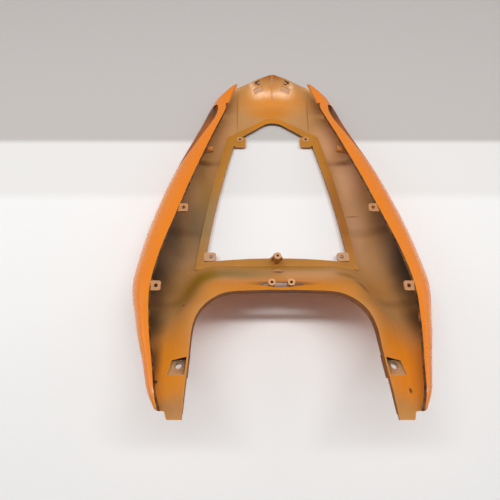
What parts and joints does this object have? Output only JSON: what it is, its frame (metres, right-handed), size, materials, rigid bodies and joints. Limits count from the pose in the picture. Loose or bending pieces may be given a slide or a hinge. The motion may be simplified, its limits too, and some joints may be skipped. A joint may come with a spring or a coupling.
{
  "type": "motorcycle tail fairing",
  "caption": "One-piece moulded tail fairing with two front arms, a crossbar with a lock hole, a framed pillion opening, flanks with vent scoops and a swept tail.",
  "frame": {"origin": "the middle of the bounding box's lowest plane, which is the plane that the part rests on", "axes": "+X across the bike to the right of the picture, +Y from the two front arms to the tail, +Z out of the inside, so the part lies on its outside with its inside up"},
  "size_m": [0.364, 0.5296, 0.1261],
  "materials": {
    "tail_fairing": "orange gloss paint outside and thin overspray inside, on dark ABS"
  },
  "bodies": {
    "root": {"tail_fairing": "tail_fairing"}
  },
  "joints": []
}
